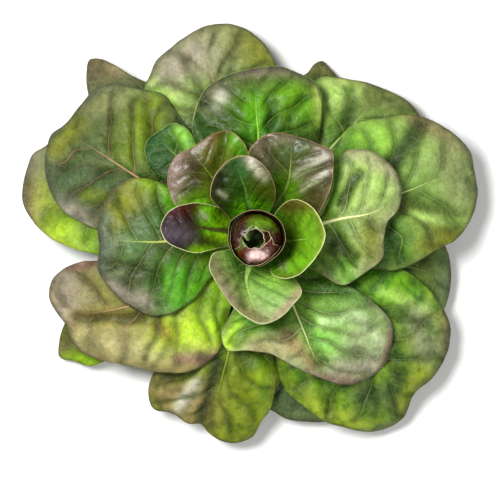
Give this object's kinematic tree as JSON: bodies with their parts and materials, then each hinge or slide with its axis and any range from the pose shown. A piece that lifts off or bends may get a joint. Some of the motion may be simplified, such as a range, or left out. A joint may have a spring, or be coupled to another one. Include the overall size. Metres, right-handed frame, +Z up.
{
  "type": "butterhead lettuce",
  "caption": "Cut head of red butterhead lettuce, an open rosette of waved leaves round a small wrapped heart, resting on its cut stem.",
  "frame": {"origin": "centre of the stem's flat cut face, which the head rests on", "axes": "+Z up along the stem, +Y towards the picture's top edge, +X towards its right edge"},
  "size_m": [0.269, 0.2471, 0.0929],
  "materials": {
    "outer_leaf": "satin",
    "middle_leaf": "satin",
    "inner_leaf": "satin",
    "heart_leaf": "gloss",
    "stem": "satin"
  },
  "bodies": {
    "root": {"outer_leaf_01": "outer_leaf", "outer_leaf_02": "outer_leaf", "outer_leaf_03": "outer_leaf", "outer_leaf_04": "outer_leaf", "outer_leaf_05": "outer_leaf", "outer_leaf_06": "outer_leaf", "outer_leaf_07": "outer_leaf", "outer_leaf_08": "outer_leaf", "outer_leaf_09": "outer_leaf", "outer_leaf_10": "outer_leaf", "outer_leaf_11": "outer_leaf", "outer_leaf_12": "outer_leaf", "outer_leaf_13": "outer_leaf", "middle_leaf_1": "middle_leaf", "middle_leaf_2": "middle_leaf", "middle_leaf_3": "middle_leaf", "middle_leaf_4": "middle_leaf", "middle_leaf_5": "middle_leaf", "inner_leaf_1": "inner_leaf", "inner_leaf_2": "inner_leaf", "inner_leaf_3": "inner_leaf", "inner_leaf_4": "inner_leaf", "inner_leaf_5": "inner_leaf", "inner_leaf_6": "inner_leaf", "heart_leaf_1": "heart_leaf", "heart_leaf_2": "heart_leaf", "heart_leaf_3": "heart_leaf", "heart_leaf_4": "heart_leaf", "heart_leaf_5": "heart_leaf", "stem": "stem"}
  },
  "joints": []
}
